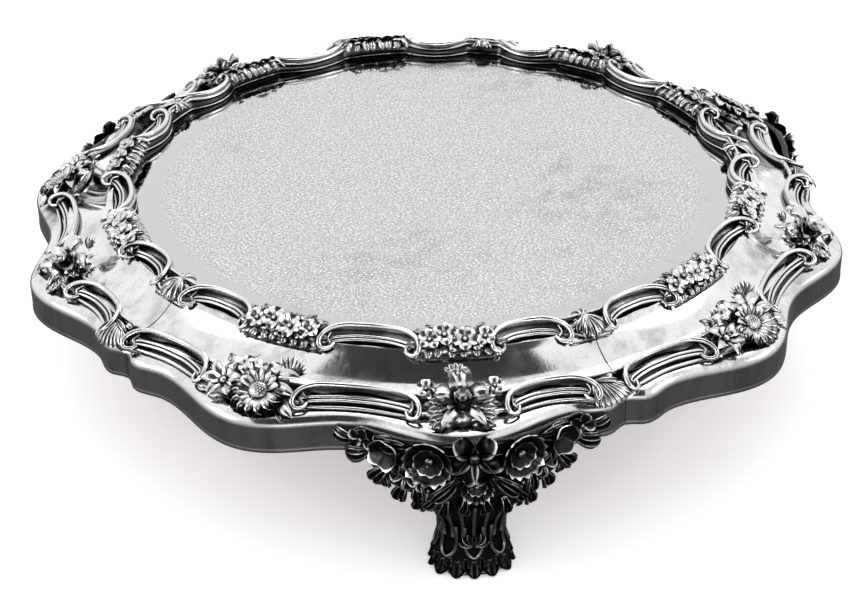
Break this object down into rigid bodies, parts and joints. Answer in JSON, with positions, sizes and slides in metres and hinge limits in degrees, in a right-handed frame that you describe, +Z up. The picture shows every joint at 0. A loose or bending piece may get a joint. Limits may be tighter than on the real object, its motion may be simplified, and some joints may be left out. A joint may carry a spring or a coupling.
{
  "type": "mirror plateau",
  "caption": "Round mirror plateau with a lobed silver-plated border of scrolls and flowers on cast feet, for showing off a centrepiece or cake.",
  "frame": {"origin": "on the plateau's axis, at the level of the soles of the feet", "axes": "+Z up through the middle of the mirror; a seam of the border lies on -Y and the front foot 21 degrees from it towards -X"},
  "size_m": [0.4453, 0.4294, 0.107],
  "materials": {
    "polished_silver": "polished silver plate, lightly scratched and hazed",
    "cast_silver": "cast silver plate, bright on the high spots and tarnished dark in the hollows",
    "dark_cast_silver": "cast silver plate, heavily tarnished, with rubbed bright edges",
    "mirror_plate": "old silvered glass, foxed",
    "mahogany": "unpolished",
    "baize": "matt wool",
    "iron": "dull"
  },
  "bodies": {
    "root": {"base_board": "mahogany", "bed_board": "mahogany", "mirror_pad": "baize", "mirror_glass": "mirror_plate", "apron_1": "polished_silver", "cove_1": "polished_silver", "outer_border_1": "cast_silver", "inner_border_1": "cast_silver", "lug_1": "iron", "lug_1_screw": "iron", "bed_screw_1": "iron", "apron_2": "polished_silver", "cove_2": "polished_silver", "outer_border_2": "cast_silver", "inner_border_2": "cast_silver", "lug_2": "iron", "lug_2_screw": "iron", "bed_screw_2": "iron", "apron_3": "polished_silver", "cove_3": "polished_silver", "outer_border_3": "cast_silver", "inner_border_3": "cast_silver", "lug_3": "iron", "lug_3_screw": "iron", "bed_screw_3": "iron", "apron_4": "polished_silver", "cove_4": "polished_silver", "outer_border_4": "cast_silver", "inner_border_4": "cast_silver", "lug_4": "iron", "lug_4_screw": "iron", "bed_screw_4": "iron", "apron_5": "polished_silver", "cove_5": "polished_silver", "outer_border_5": "cast_silver", "inner_border_5": "cast_silver", "lug_5": "iron", "lug_5_screw": "iron", "bed_screw_5": "iron", "foot_1": "dark_cast_silver", "foot_1_screw_1": "iron", "foot_1_screw_2": "iron", "foot_2": "dark_cast_silver", "foot_2_screw_1": "iron", "foot_2_screw_2": "iron", "foot_3": "dark_cast_silver", "foot_3_screw_1": "iron", "foot_3_screw_2": "iron"}
  },
  "joints": []
}
